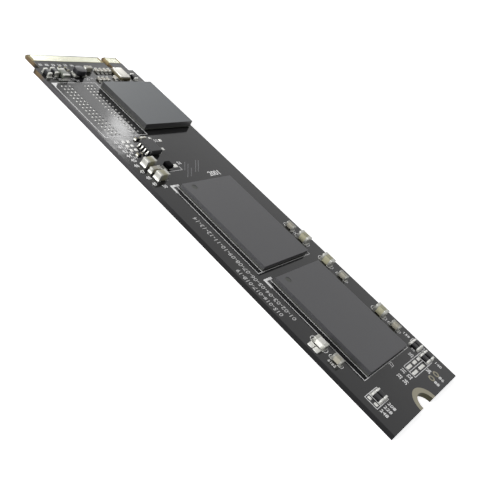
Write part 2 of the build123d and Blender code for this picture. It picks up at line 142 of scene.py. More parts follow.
class DriveSizes(bpy.types.PropertyGroup):
    """Sizes of the solder, the rolled edges and the print."""

    end_roll: length("End roll", 0.07, "Edge radius of a chip's dipped ends")
    body_roll: length("Body roll", 0.025, "Edge radius of a chip's ceramic body")
    choke_roll: length("Choke roll", 0.09, "Edge radius of a moulded choke")
    lid_roll: length("Lid roll", 0.1, "Edge radius of the crystal's lid")
    lead_thickness: length("Lead thickness", 0.13, "Thickness of the regulator's leads")
    pad_crown: length("Pad crown", 0.03, "Height of the tin over a bare round pad")
    land_crown: length("Land crown", 0.025, "Height of the tin over a bare land")
    ring_rise: length("Ring rise", 0.04, "Height of a test point's ring")
    trace_rise: length("Trace rise", 0.012, "Height of the mask over a copper trace")
    trace_width: length("Trace width", 0.12, "Width of a covered trace or a pad's neck")
    via_step: length("Via step", 0.4, "Distance of a via from its pad, along and across")
    via_radius: length("Via radius", 0.17, "Radius of a plugged via")
    lip_width: length("Lip width", 0.15, "Width of the bare lip before the upper contacts")
    number_height: length("Number height", 0.72, "Height of the printed part numbers")
    print_thickness: length("Print thickness", 0.02, "Thickness of the printed ink")
    mark_line: length("Mark line", 0.42, "Width of the corner mark beside a flash package")
    mark_back: length("Mark back", 0.65, "Distance of the mark before the package")
    mark_gap: length("Mark gap", 1.1, "Distance of the mark beside the package")
    mark_along: length("Mark along", 1.3, "Length of the corner mark along the board")
    mark_across: length("Mark across", 0.85, "Length of the corner mark across the board")
    fillet_share: level("Fillet share", 0.55, "Height of a solder fillet as a share of the end",
                        max=1, subtype="FACTOR")


class DriveColours(bpy.types.PropertyGroup):
    """Colours of the finishes."""

    mask: colour("Solder mask", "#19191b", "Dark grey solder mask on the board")
    core: colour("Laminate edge", "#09090b", "Sawn edge of the board")
    bevel: colour("Tongue bevel", "#8d8c7c", "Ground leading edge of the connector")
    tongue: colour("Tongue edge", "#66563f", "Bare sides of the connector tongue")
    # Painted light: the grey that pales the sawn edge towards the connector
    painted_edge_light: colour("Painted edge light", "#4d4c4e", "Painted edge light near the connector")
    # Painted light: the paler straw on the key slot's wall near its mouth
    slot: colour("Slot wall", "#94835f", "Routed glass-epoxy in the key slot")
    lip: colour("Leading lip", "#2e2d28", "Ground glass-epoxy before the contacts")
    window: colour("Contact window", "#c3b78d", "Bare glass-epoxy between the contacts")
    gold: colour("Gold", "#e0e2d1", "Gold plating of the contacts")
    ring: colour("Notch plating", "#8c8878", "Dull gold plating round the notch")
    # Painted shade: the darker wall of the notch below the board's top
    painted_barrel_shade: colour("Notch barrel", "#4c4a3c", "Stained plating down the wall of the notch")
    tin: colour("Tin", "#b0b0aa", "Solder and tin-plated ends and leads")
    # Painted shade: the darker tops of the small capacitors' ends
    painted_top_shade: colour("Worn tin", "#94948f", "Painted shade on the tops of the small capacitors' ends")
    land: colour("Tinned land", "#b4b4b1", "Tinned copper of the lands and pads")
    fresh: colour("Fresh tin", "#e2e2de", "Bright tin of bare lands and resistors' ends")
    flash: colour("Flash moulding", "#313134", "Moulding compound of the flash packages")
    # Painted shade: the controller's sides, darker than its top
    controller: colour("Controller moulding", "#363c40", "Moulding compound of the controller")
    cast: colour("Painted side shade", "#070809", "Painted shade on the sides of the controller")
    laminate: colour("Package laminate", "#383a35", "Edge of a package's laminate")
    regulator: colour("Regulator moulding", "#202123", "Moulding compound of the regulator")
    choke: colour("Choke", "#17161b", "Moulded ferrite of the large choke")
    ferrite: colour("Small choke", "#0c0b0d", "Moulded ferrite of the small choke")
    trace: colour("Covered trace", "#737376", "Solder mask over copper")
    neck: colour("Pad neck", "#2b2b2d", "Solder mask over necks and vias")
    cream: colour("Cream ceramic", "#f4f2ea", "Ceramic of the large capacitor")
    olive: colour("Olive ceramic", "#aaa78d", "Ceramic of the tall capacitors")
    sage: colour("Sage ceramic", "#aeaa9c", "Ceramic of the small capacitors")
    bone: colour("Bone ceramic", "#cfcac0", "Ceramic of the coupling capacitors")
    dark: colour("Dark ceramic", "#232325", "Ceramic of the resistors and small beads")
    bead: colour("Bead ceramic", "#6a6e65", "Ferrite ceramic of the large bead")
    crystal: colour("Crystal ceramic", "#6c654e", "Ceramic base of the crystal")
    lid: colour("Crystal lid", "#bab8b1", "Plated lid of the crystal")
    ink: colour("Ink", "#fafafa", "White ink of the numbers and corner marks")
    thin_ink: colour("Thin ink", "#e8e8e8", "White ink of the legend's lines")
    faint_ink: colour("Faint ink", "#d4d4d4", "White ink of the two long rows of numbers")
    floor: colour("Floor", "#e4e4e4", "Studio floor")


class DriveStudio(bpy.types.PropertyGroup):
    """Levels of the studio light."""

    sky: level("Sky", 0.22, "Strength of the even light from all round")
    glow: level("Glow", 0.55, "Brightness that the floor adds where it is seen or mirrored")
    white: level("White", 0.27, "Brightness that the floor adds besides, for the camera alone")
    key: level("Key", 0.013, "Power of the small lamp beyond the connector", unit="POWER")
    haze: level("Haze", 0.022, "Power of the soft lamp beside the key lamp", unit="POWER")
    rim: level("Rim", 0.7, "Power of the soft lamp low beyond the connector", unit="POWER")
    fill: level("Fill", 4.6, "Power of the wide low lamp on the near side", unit="POWER")
    top: level("Top", 0.25, "Power of the wide lamp overhead", unit="POWER")


def add_node(tree, kind, inputs=None, **options):
    """Adds a node with its options, and gives each input a value or a link from an output."""
    made = tree.nodes.new(kind)
    for name, value in options.items():
        setattr(made, name, value)
    for name, value in (inputs or {}).items():
        if isinstance(value, bpy.types.NodeSocket):
            tree.links.new(value, made.inputs[name])
        else:
            made.inputs[name].default_value = value
    return made


def bare_material(name):
    """A new material with an empty tree, and the object coordinates in that tree."""
    material = bpy.data.materials.new(name)
    material.use_nodes = True
    tree = material.node_tree
    tree.nodes.clear()
    return material, tree, add_node(tree, "ShaderNodeTexCoord").outputs["Object"]


def coated(material, inputs):
    """Closes a material with one surface that takes the inputs."""
    tree = material.node_tree
    surface = add_node(tree, "ShaderNodeBsdfPrincipled", inputs)
    add_node(tree, "ShaderNodeOutputMaterial", {"Surface": surface.outputs["BSDF"]})
    return material


def grained(tree, place, size, height, rough, detail=2.0):
    """A bump from noise whose grains are size across and height deep, both in millimetres, and a
    roughness that drifts with it between two values."""
    noise = add_node(tree, "ShaderNodeTexNoise", {
        "Vector": place, "Scale": 1 / (size * MM), "Detail": detail}).outputs[0]
    bump = add_node(tree, "ShaderNodeBump", {"Distance": height * MM, "Height": noise})
    drift = add_node(tree, "ShaderNodeMapRange", {
        "Value": noise, "To Min": rough[0], "To Max": rough[1]})
    return {"Normal": bump.outputs[0], "Roughness": drift.outputs[0]}


def mottle(tree, place, tint, size, spread):
    """A colour that drifts by a share of itself over patches of a size in millimetres."""
    noise = add_node(tree, "ShaderNodeTexNoise", {
        "Vector": place, "Scale": 1 / (size * MM), "Detail": 3.0})
    low, high = ((*(min(1.0, c * share) for c in tint[:3]), 1.0)
                 for share in (1 - spread, 1 + spread))
    return add_node(tree, "ShaderNodeMix", {
        FACTOR: noise.outputs[0], COLOUR_A: low, COLOUR_B: high},
        data_type="RGBA").outputs[COLOUR_OUT]


def banded(tree, axis, middle, half, inside, outside):
    """One colour where a coordinate is within half of a middle, in millimetres, or else another."""
    zone = add_node(tree, "ShaderNodeMath", {0: axis, 1: middle * MM, 2: half * MM},
                    operation="COMPARE")
    both = add_node(tree, "ShaderNodeMix", {
        FACTOR: zone.outputs[0], COLOUR_A: outside, COLOUR_B: inside}, data_type="RGBA")
    return both.outputs[COLOUR_OUT]


def top_and_sides(tree, place, upper, sides, top, skin=0.02):
    """One colour down to a skin under the top's height, in millimetres, and another below it."""
    z = add_node(tree, "ShaderNodeSeparateXYZ", {"Vector": place}).outputs["Z"]
    return banded(tree, z, (top - skin) / 2, (top - skin) / 2, sides, upper)


def moulding(name, tint, rough, sheen=0.5, sides=None, top=0.0):
    """Epoxy moulding compound: filled resin with a fine even grain and a dull sheen. Where a tint
    for the sides is given, it takes over under the top height as painted shade that darkens the
    sides against the top."""
    material, tree, place = bare_material(name)
    shade = mottle(tree, place, tint, size=2.5, spread=0.06)
    if sides:
        shade = top_and_sides(tree, place, shade, sides, top)
    return coated(material, {
        "Base Color": shade, "IOR": 1.55, "Specular IOR Level": sheen,
        **grained(tree, place, 0.12, 0.004, (rough - 0.06, rough + 0.06), detail=3.0)})


def metal(name, tint, rough, grain, depth=0.003, share=1.0, sides=None, top=0.0):
    """Plated metal: the plating's own colour, with grains of a size and depth in millimetres that
    break up its shine. A share under one leaves some of it as the dull white bloom of matte tin.
    A tint for the sides, blotched, takes over under the top height; the two tints are painted
    shade, the darker one on the part that lies in shade."""
    material, tree, place = bare_material(name)
    shade = mottle(tree, place, tint, size=0.8, spread=0.07)
    if sides:
        blotched = mottle(tree, place, sides, size=0.5, spread=0.4)
        shade = top_and_sides(tree, place, shade, blotched, top)
    return coated(material, {
        "Base Color": shade, "Metallic": share,
        **grained(tree, place, grain, depth, (rough - 0.08, rough + 0.1))})


def ceramic(name, tint, rough, ior):
    """Fired ceramic: pressed and sintered powder with a speckle of about 0.15 mm and a dull gloss,
    whose shade drifts over some 4 mm so that no two chips of a batch look quite alike."""
    material, tree, place = bare_material(name)
    return coated(material, {
        "Base Color": mottle(tree, place, tint, size=4.0, spread=0.16), "IOR": ior,
        "Specular IOR Level": 0.25, **grained(tree, place, 0.15, 0.003, (rough, rough))})


def mask_over_laminate(colours):
    """Glass-epoxy board under a sprayed solder mask: smooth dark faces, dull sawn edges with
    painted light that pales them towards the connector, and bare straw and brown epoxy on the
    tongue, where the mask stops."""
    material, tree, place = bare_material("solder_mask_on_glass_epoxy")
    x, y, z = add_node(tree, "ShaderNodeSeparateXYZ", {"Vector": place}).outputs
    # Stretches of the sawn edge that have one colour, as shares of the board's length: the ground
    # bevel, the bare tongue, a dark stretch at the tongue's end, a brown one just past it, and a
    # grey stretch of painted light that pales the edge towards the connector
    along = add_node(tree, "ShaderNodeMapRange", {
        "Value": x, "From Min": CONNECTOR_X * MM, "From Max": -CONNECTOR_X * MM})
    stretches = (("bevel", 0.0, 0.003), ("tongue", 0.004, 0.028), ("core", 0.036, 0.05),
                 ("tongue", 0.058, 0.066), ("painted_edge_light", 0.085, 0.25), ("core", 0.5, 1.0))
    stops = [(share, getattr(colours, name)) for name, *ends in stretches for share in ends]
    ramp = add_node(tree, "ShaderNodeValToRGB", {"Fac": along.outputs[0]})
    elements = ramp.color_ramp.elements
    elements[0].color, elements[1].color = stops[0][1], stops[-1][1]
    for share, tint in stops[1:-1]:
        elements.new(share).color = tint
    # Layers of the glass cloth, which are 0.2 mm apart. A wave texture goes through 20 radians in a
    # unit, so this scale draws them some six times as far apart, where they show
    layers = add_node(tree, "ShaderNodeTexWave", {
        "Vector": place, "Scale": 1 / (20 * 0.2 * MM), "Distortion": 1.5, "Detail": 2.0,
        "Detail Scale": 2.0}, bands_direction="Z")
    shade = add_node(tree, "ShaderNodeMapRange", {
        "Value": layers.outputs[1], "To Min": 0.8, "To Max": 1.1})
    side = add_node(tree, "ShaderNodeMix", {
        FACTOR: 1.0, COLOUR_A: ramp.outputs[0], COLOUR_B: shade.outputs[0]},
        data_type="RGBA", blend_type="MULTIPLY").outputs[COLOUR_OUT]
    # The tongue: walls with painted light at the key slot's mouth, and faces with the ground lip
    middle = BOARD_TOP / 2
    slot = banded(tree, x, CONNECTOR_X + SLOT_PALE_MIDDLE, SLOT_PALE_HALF, colours.slot,
                  colours.tongue)
    wall = banded(tree, y, 0.0, SLOT_ZONE, slot, side)
    face = banded(tree, x, CONNECTOR_X, LIP_LENGTH, colours.lip, colours.window)
    bare = banded(tree, z, middle, middle - FLANK_DEPTH, wall, face)
    sawn = banded(tree, x, CONNECTOR_X, TONGUE_LENGTH, bare, side)
    mask = mottle(tree, place, colours.mask, size=7.0, spread=0.05)
    skin = grained(tree, place, 1.2, 0.006, (0.1, 0.13), detail=1.0)
    edge = (tree, z, middle, middle - EDGE_DEPTH)
    return coated(material, {
        "Base Color": banded(*edge, sawn, mask), "Specular IOR Level": 0.3,
        "Normal": skin["Normal"], "Roughness": banded(*edge, SAWN_ROUGHNESS, skin["Roughness"])})


def mask_over_copper(name, tint):
    """Solder mask over copper: the same sprayed mask, a shade lighter where the copper lifts it."""
    material, tree, place = bare_material(name)
    return coated(material, {
        "Base Color": mottle(tree, place, tint, size=3.0, spread=0.1), "Specular IOR Level": 0.3,
        **grained(tree, place, 3.0, 0.001, (0.12, 0.12), detail=0.0)})


def rolled_gold(colours):
    """Gold over nickel, plated and then wiped by the socket: pale yellow, with fine scratches
    along the card."""
    material, tree, place = bare_material("hard_gold_on_nickel")
    along = add_node(tree, "ShaderNodeMapping", {"Vector": place, "Scale": (0.08, 1.0, 1.0)})
    return coated(material, {
        "Base Color": mottle(tree, place, colours.gold, size=1.5, spread=0.06), "Metallic": 1.0,
        **grained(tree, along.outputs[0], 0.08, 0.001, (0.12, 0.2))})


def printed_ink(name, tint, rough=0.65, ior=1.5):
    """Screen-printed epoxy ink: white, thinner in places so that the print looks a little uneven.
    The faintest ink dries matte; a thicker coat keeps a gloss, with a lower roughness and a higher
    index."""
    material, tree, place = bare_material(name)
    return coated(material, {
        "Base Color": mottle(tree, place, tint, size=0.4, spread=0.08), "IOR": ior,
        **grained(tree, place, 0.1, 0.003, (rough, rough))})


def seen_rays(tree):
    """The camera's own rays, and those together with the mirrored and transmitted ones."""
    path = add_node(tree, "ShaderNodeLightPath")
    seen = camera = path.outputs["Is Camera Ray"]
    for kind in ("Is Glossy Ray", "Is Transmission Ray"):
        seen = add_node(tree, "ShaderNodeMath", {0: seen, 1: path.outputs[kind]},
                        operation="MAXIMUM").outputs[0]
    return camera, seen


def white_sweep(colours, studio):
    """Matte paper sweep: even white without a grain. It glows where it is seen or mirrored, so
    that it stays as pale as the sky behind it."""
    material, tree, place = bare_material("matte_white_sweep")
    paper = mottle(tree, place, colours.floor, size=60.0, spread=0.01)
    matte = add_node(tree, "ShaderNodeBsdfDiffuse", {"Color": paper, "Roughness": 0.5})
    camera, seen = seen_rays(tree)
    shine = add_node(tree, "ShaderNodeMath", {0: seen, 1: studio.glow}, operation="MULTIPLY")
    pale = add_node(tree, "ShaderNodeMath", {0: camera, 1: studio.white, 2: shine.outputs[0]},
                    operation="MULTIPLY_ADD")
    glow = add_node(tree, "ShaderNodeEmission", {"Color": WHITE, "Strength": pale.outputs[0]})
    both = add_node(tree, "ShaderNodeAddShader", {0: matte.outputs[0], 1: glow.outputs[0]})
    add_node(tree, "ShaderNodeOutputMaterial", {"Surface": both.outputs[0]})
    return material


def finish_solid(nodes, material):
    """Gives the named solids a material."""
    for name in nodes:
        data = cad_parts[name].data
        data.materials.clear()
        data.materials.append(material)


def read_mesh(items, field, *width, kind=np.int32):
    """One field of a mesh's points, corners or faces, with a row for each."""
    rows = np.empty((len(items), *width), dtype=kind)
    items.foreach_get(field, rows.ravel())
    return rows


def mesh_points(data):
    """The points of a mesh as rows of x, y and z."""
    return read_mesh(data.vertices, "co", 3, kind=float)


def solid_boxes(name):
    """The lowest and highest corner of each separate solid of a node, in millimetres, found by
    giving touching triangles their lowest shared label until nothing changes."""
    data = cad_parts[name].data
    points = mesh_points(data) / MM
    microns = np.round(points * 1000).astype(np.int64)
    shared = np.unique(microns, axis=0, return_inverse=True)[1].ravel()
    triangles = shared[read_mesh(data.loops, "vertex_index")].reshape(-1, 3)
    label = np.arange(shared.max() + 1)
    before = None
    while before is None or (before != label).any():
        before = label.copy()
        np.minimum.at(label, triangles.ravel(), np.repeat(label[triangles].min(1), 3))
        label = label[label]
    member = np.unique(label[shared], return_inverse=True)[1].ravel()
    low = np.full((member.max() + 1, 3), np.inf)
    high = -low
    np.minimum.at(low, member, points)
    np.maximum.at(high, member, points)
    return low, high


def joined(boxes):
    """The boxes of several nodes as one pair of arrays."""
    return tuple(np.concatenate(side) for side in zip(*boxes))


def seats(low, high):
    """Where round solids stand on the board, and the radius that they share."""
    return (low + high) / 2 * [1, 1, 0] + [0, 0, BOARD_TOP], (high - low)[0, 0] / 2


def top_of(name):
    """The height of a solid's top, in millimetres."""
    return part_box(name)[1][2] / MM


def top_pocket(name):
    """The middle and radius of the shallow round pocket in a package's top, from the points just
    under that top."""
    points = mesh_points(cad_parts[name].data) / MM
    depth = points[:, 2].max() - points[:, 2]
    least, most = 0.01, 0.2
    floor = points[(depth > least) & (depth < most)]
    low, high = floor.min(0), floor.max(0)
    return (low + high) / 2, (high - low)[0] / 2


def add_piece(name, rings, material, stands_for=(), wrap=False, sharp=40):
    """Makes one piece from rings of points, as copies x levels x around x 3 in millimetres. Each
    ring is joined to the next by a band of quads; the first and last are closed by a flat face, or
    meet each other when wrapped."""
    rings = np.asarray(rings, float) * MM
    copies, levels, around = rings.shape[:3]
    index = np.arange(levels * around).reshape(levels, around)
    lower = index if wrap else index[:-1]
    upper = np.roll(index, -1, 0) if wrap else index[1:]
    band = np.stack([lower, np.roll(lower, -1, 1), np.roll(upper, -1, 1), upper], -1)
    ends = np.empty((0, around), int) if wrap else np.stack([index[0, ::-1], index[-1]])
    shift = levels * around * np.arange(copies)[:, None, None]
    faces = (band.reshape(-1, 4) + shift).reshape(-1, 4).tolist()
    faces += (ends + shift).reshape(-1, around).tolist()
    dress_mesh(name, rings.reshape(-1, 3), faces, material, stands_for, sharp)


def dress_mesh(name, points, faces, material, stands_for=(), sharp=40):
    """Puts points and faces into an object that rides on the drive, with the faces outwards and
    the edges over an angle in degrees left sharp."""
    data = bpy.data.meshes.new(name)
    data.from_pydata(points, [], faces)
    work = bmesh.new()
    work.from_mesh(data)
    bmesh.ops.recalc_face_normals(work, faces=work.faces)
    work.to_mesh(data)
    work.free()
    data.polygons.foreach_set("use_smooth", np.ones(len(data.polygons), dtype=bool))
    data.set_sharp_from_angle(angle=math.radians(sharp))
    data.materials.append(material)
    piece = bpy.data.objects.new(name, data)
    bpy.context.scene.collection.objects.link(piece)
    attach(piece, BODY)
    if stands_for:
        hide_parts(*stands_for)


def rounded_outline(half, radius, quarter=4):
    """Outline of a rectangle with round corners: each corner's centre, moved out by the radius
    through a quarter turn. half is (..., 2), radius (...) and the outline (..., 4 * quarter, 2)."""
    turn = np.linspace(0, np.pi / 2, quarter)
    angle = (np.arange(4)[:, None] * np.pi / 2 + turn).ravel()
    way = np.repeat(np.array([[1, 1], [-1, 1], [-1, -1], [1, -1]]), quarter, axis=0)
    arc = np.stack([np.cos(angle), np.sin(angle)], -1)
    radius = np.asarray(radius)[..., None, None]
    return way * (np.asarray(half)[..., None, :] - radius) + radius * arc


def block_rings(low, high, roll, corner, foot=True, crown=0.0):
    """Rings of a block with rolled edges. Through a quarter turn t the outline shrinks by
    roll * (1 - sin t) as the height rises by roll * (1 - cos t); the top does the same in reverse
    and is lifted by crown. The corners shrink with the outline, down to three tenths."""
    t = np.linspace(0, np.pi / 2, 4)
    inset = roll * (1 - np.sin(t))
    rise = roll * (1 - np.cos(t))
    size = high - low
    tall = size[:, 2:3] + crown
    start = np.tile(rise if foot else np.zeros(1), (len(low), 1))
    height = np.concatenate([start, tall - rise[::-1]], 1)
    shrink = np.concatenate([inset if foot else np.zeros(1), inset[::-1]])
    half = size[:, None, :2] / 2 - shrink[:, None]
    bend = np.broadcast_to(np.maximum(corner - shrink, 0.3 * corner), half.shape[:2])
    outline = rounded_outline(half, bend)
    centre = (low + high)[:, None, None, :2] / 2
    z = np.broadcast_to((low[:, 2:3] + height)[..., None, None], outline.shape[:3] + (1,))
    return np.concatenate([outline + centre, z], -1)


def roll_blocks(name, node, material, slot, **shape):
    """Makes blocks with rolled edges that stand for the solids of a node."""
    add_piece(name, block_rings(*solid_boxes(node), **shape), material, [node])


def round_rings(centre, radius, tall, profile, around=16):
    """Rings of a round form: a point of the profile goes up by its share of the height and out by
    its share of the radius, and is turned about the centre."""
    angle = np.linspace(0, 2 * np.pi, around, endpoint=False)
    height, share = np.array(profile).T
    circle = np.stack([np.cos(angle), np.sin(angle), np.zeros(around)], -1)
    lift = tall * height[:, None, None] * [0, 0, 1]
    return centre[:, None, None] + lift + radius * share[:, None, None] * circle


def half_round_rings(centre, outer, rise, around=40, section=10, half_width=0.22):
    """Sections of half-round rings: through a turn s the reach is outer * (1 - half_width * (1 -
    cos s)) and the height rise * sin s, or zero, and each section is turned about the centre."""
    turn = np.linspace(0, 2 * np.pi, around, endpoint=False)
    s = np.linspace(0, 2 * np.pi, section, endpoint=False)
    reach = outer * (1 - half_width * (1 - np.cos(s)))
    lift = np.broadcast_to(rise * np.maximum(np.sin(s), 0), (around, section))
    ring = np.stack([np.cos(turn)[:, None] * reach, np.sin(turn)[:, None] * reach, lift], -1)
    return centre[:, None, None] + ring


def fillet_rings(ends, lands, share):
    """Rings of the solder between each chip end and its land. The section is hollow, out by
    toe * (1 - sin t) and up by rise * (1 - cos t), and is carried across the end's width, a little
    lower at both sides."""
    overlap, toe_gap, side_drop, width_share = 0.06, 0.01, 0.3, 0.97
    end_low, end_high = ends
    land_middle = (lands[0] + lands[1])[:, :2] / 2
    middle = (end_low + end_high)[:, :2] / 2
    near = np.argmin(((middle[:, None] - land_middle) ** 2).sum(-1), 1)
    offset = land_middle[near] - middle
    along_x = np.abs(offset[:, 0]) > np.abs(offset[:, 1])
    way = np.where(along_x[:, None], np.sign(offset) * [1, 0], np.sign(offset) * [0, 1])
    side = np.stack([-way[:, 1], way[:, 0]], -1)
    size = end_high - end_low
    half = size[:, :2] / 2
    depth = np.where(along_x, half[:, 0], half[:, 1])
    width = np.where(along_x, half[:, 1], half[:, 0])
    toe = np.abs(offset).max(1) * 2 - toe_gap
    rise = share * size[:, 2]
    t = np.linspace(0, np.pi / 2, 6)[1:-1]
    out = np.concatenate([[-overlap, 1.0], 1 - np.sin(t), [0.0, -overlap]])
    up = np.concatenate([[0.0, 0.0], 1 - np.cos(t), [1.0, 1.0]])
    across = np.linspace(-1, 1, 7)
    swell = (1 - side_drop * np.abs(across) ** 3)[:, None]
    run = depth[:, None, None] + np.where(out > 0, toe[:, None, None] * out * swell, out)
    lift = end_low[:, 2, None, None] + rise[:, None, None] * up * swell
    sideways = (side * width[:, None])[:, None, None] * (width_share * across)[:, None, None]
    flat = middle[:, None, None] + way[:, None, None] * run[..., None] + sideways
    return np.concatenate([flat, lift[..., None]], -1)


def lead_rings(low, high, middle_y, thick):
    """Rings of gull-wing leads: a flat strip whose height follows a smooth step from the body down
    to the land, with its thickness laid off square to that path."""
    shoulder, fall, width_share = 0.3, 0.36, 0.8
    outward = np.where((low + high)[:, 1] / 2 > middle_y, 1.0, -1.0)
    start = np.where(outward > 0, low[:, 1], high[:, 1])
    size = high - low
    share = np.linspace(0, 1, 22)
    step = np.clip((share - shoulder) / fall, 0, 1)
    drop = step * step * (3 - 2 * step)
    path_y = share[None] * size[:, 1, None]
    path_z = low[:, 2, None] + thick / 2 + (size[:, 2] - thick)[:, None] * (1 - drop[None])
    slope = np.stack([np.gradient(path_y, axis=1), np.gradient(path_z, axis=1)], -1)
    slope /= np.linalg.norm(slope, axis=-1, keepdims=True)
    square = np.stack([-slope[..., 1], slope[..., 0]], -1) * thick / 2
    wide = width_share * size[:, 0] / 2
    corner = np.array([[-1, -1], [1, -1], [1, 1], [-1, 1]])
    x = ((low + high)[:, 0] / 2)[:, None, None] + wide[:, None, None] * corner[:, 0]
    y = path_y[..., None] + square[..., 0, None] * corner[:, 1]
    y = start[:, None, None] + outward[:, None, None] * y
    z = path_z[..., None] + square[..., 1, None] * corner[:, 1]
    return np.stack([np.broadcast_to(x, y.shape), y, z], -1)


def strip_rings(path, width, base, rise, taper=0.1):
    """Rings of flat strips along paths (copies x points x 2): each point's section is laid off
    along the mean of its neighbours' normals, lengthened at a bend so that the strip keeps its
    width, and its upper corners are drawn in by a share of that width."""
    step = np.diff(path, axis=1)
    step /= np.linalg.norm(step, axis=-1, keepdims=True)
    normal = np.stack([-step[..., 1], step[..., 0]], -1)
    first = np.concatenate([normal[:, :1], normal], 1)
    last = np.concatenate([normal, normal[:, -1:]], 1)
    mean = first + last
    mean /= np.linalg.norm(mean, axis=-1, keepdims=True)
    mean /= (mean * first).sum(-1, keepdims=True)
    left = path + mean * width / 2
    right = path - mean * width / 2
    inner_left = left * (1 - taper) + right * taper
    inner_right = right * (1 - taper) + left * taper
    low = np.full(left.shape[:2] + (1,), base)
    top = low + rise
    corners = (right, low), (left, low), (inner_left, top), (inner_right, top)
    return np.stack([np.concatenate(corner, -1) for corner in corners], 2)


def number_places(tall):
    """The plain numbers beside the parts: each one's digits, its distance from the leading edge
    and off the centre line, the way it reads and its height."""
    places = [(f"{208 + 20 * k}", 77.2, -6.9 - 1.15 * k, RIGHT, 0.62) for k in range(3)]
    beside = ((74.7, 1.5), (75.85, 1.55), (74.95, -0.2), (76.0, -0.15), (73.7, 6.2), (76.95, 6.4),
              (73.1, 0.5))
    places += [(f"{31 + k}", x, y, UP, tall) for k, (x, y) in enumerate(beside)]
    places += [("38", 73.3, 7.75, RIGHT, 0.5), ("139", 71.1, 9.6, RIGHT, 0.6),
               ("140", 77.3, 9.6, RIGHT, 0.6), ("86", 78.95, 7.2, RIGHT, 0.65),
               ("88", 78.95, 5.4, RIGHT, 0.65)]
    places += [(f"{41 + k}", 23.0 + 1.05 * k, -9.42, UP, 0.72) for k in range(5)]
    places += [(f"{46 + k}", 28.4 + 1.4 * k, -9.85, UP, 0.65) for k in range(4)]
    places += [("50", 33.4, -8.3, UP, 0.65), ("51", 29.05, -0.9, UP, 0.65),
               ("52", 23.4, -0.95, UP, 0.6), ("2001", 32.4, 4.5, UP, 1.05)]
    places += [(f"{71 + k}", 23.4 + 1.1 * k, -8.52, UP, 0.5) for k in range(4)]
    places += [(f"{11 + k}", 3.0, -9.2 + 1.3 * k, UP, 0.5) for k in range(6)]
    places += [("21", 6.6, -9.15, UP, 0.5), ("22", 6.95, -8.2, UP, 0.5),
               ("23", 6.9, -5.35, UP, 0.5), ("24", 7.3, -4.75, UP, 0.5),
               ("25", 6.85, -2.25, UP, 0.6), ("26", 6.6, -1.2, UP, 0.5)]
    places += [(f"{61 + k}", 68.0 + 0.75 * k, -9.7, RIGHT, 0.5) for k in range(2)]
    return places


def print_numbers(name, places, ink, thickness, fat):
    """Turns each number into a thin mesh at its place: a point of the font's outline is measured
    from the number's middle, scaled to the height, turned and moved."""
    points, faces = [], []
    count = 0
    for digits, x, y, degrees, height in places:
        curve = bpy.data.curves.new(name, "FONT")
        curve.body = digits
        curve.resolution_u = 2
        curve.offset = fat
        curve.extrude = 0.01  # Any depth, as it only tells the two faces apart
        holder = bpy.data.objects.new(name, curve)
        flat = bpy.data.meshes.new_from_object(holder)
        glyph = mesh_points(flat)
        turn = math.radians(degrees)
        spin = np.array([[math.cos(turn), math.sin(turn)], [-math.sin(turn), math.cos(turn)]])
        centre = (glyph[:, :2].min(0) + glyph[:, :2].max(0)) / 2
        plane = (glyph[:, :2] - centre) * (height / DIGIT_SHARE) @ spin + EDGE_MIDDLE + [x, y]
        lift = BOARD_TOP + np.where(glyph[:, 2:] > 0, thickness, 0.0)
        points.append(np.concatenate([plane, lift], 1) * MM)
        starts = read_mesh(flat.polygons, "loop_start")
        faces += np.split(read_mesh(flat.loops, "vertex_index") + count, starts[1:])
        count += len(glyph)
        bpy.data.objects.remove(holder)
        bpy.data.curves.remove(curve)
        bpy.data.meshes.remove(flat)
    dress_mesh(name, np.concatenate(points), faces, ink, sharp=30)


def settings(context):
    """The sizes and colours that the scene holds."""
    return context.scene.drive_sizes, context.scene.drive_colours


class DRIVE_OT_board(bpy.types.Operator):
    """Finish the board and lay its covered copper"""

    bl_idname = "drive.board"
    bl_label = "Board and traces"

    def execute(self, context):
        sizes, colours = settings(context)
        finish_solid(["board"], mask_over_laminate(colours))
        start = TRACES[:, :2] + EDGE_MIDDLE
        run = TRACES[:, 2:] * [1.0, TRACE_SLOPE]
        traces = np.stack([start, start + run], 1)
        pads = seats(*solid_boxes("dram_pads"))[0]
        vias = pads + [sizes.via_step, sizes.via_step, 0]
        necks = np.stack([pads, vias], 1)[..., :2]
        covered = mask_over_copper("solder_mask_on_copper", colours.trace)
        buried = mask_over_copper("solder_mask_on_pad_necks", colours.neck)
        for name, path, mask in (("covered_traces", traces, covered), ("pad_necks", necks, buried)):
            add_piece(name, strip_rings(path, sizes.trace_width, BOARD_TOP, sizes.trace_rise),
                      mask, sharp=20)
        add_piece("plugged_vias", round_rings(vias, sizes.via_radius, sizes.trace_rise, VIA_PLUG),
                  buried)
        return {"FINISHED"}


class DRIVE_OT_plating(bpy.types.Operator):
    """Finish the gold contacts, the bare lip before them and the plated notch"""

    bl_idname = "drive.plating"
    bl_label = "Contacts and notch"

    def execute(self, context):
        sizes, colours = settings(context)
        finish_solid(["top_contacts", "bottom_contacts"], rolled_gold(colours))
        # The ring's wall below the board's top takes a darker blotched tint: painted shade
        finish_solid(["mount_ring"], metal(
            "dull_gold_on_nickel", colours.ring, rough=0.42, grain=0.2, depth=0.004,
            sides=colours.painted_barrel_shade, top=BOARD_TOP))
        low, high = solid_boxes("top_contacts")
        # The widest gap between neighbours is the key slot, and the lip stops on both sides of it
        order = np.argsort(low[:, 1])
        near, far = low[order, 1], high[order, 1]
        key = np.argmax(near[1:] - far[:-1]) + 1
        ends = np.array([[near[0], far[key - 1]], [near[key], far[-1]]])
        ends += [-LIP_PAST, LIP_PAST]
        lip_x = low[:, 0].min() - LIP_GAP - sizes.lip_width / 2
        path = np.stack([np.full_like(ends, lip_x), ends], -1)
        depth = (high - low)[0, 2]
        add_piece("leading_lip", strip_rings(path, sizes.lip_width, BOARD_TOP - depth, depth),
                  moulding("ground_glass_epoxy", colours.lip, rough=0.8, sheen=0.2),
                  sharp=20)
        return {"FINISHED"}


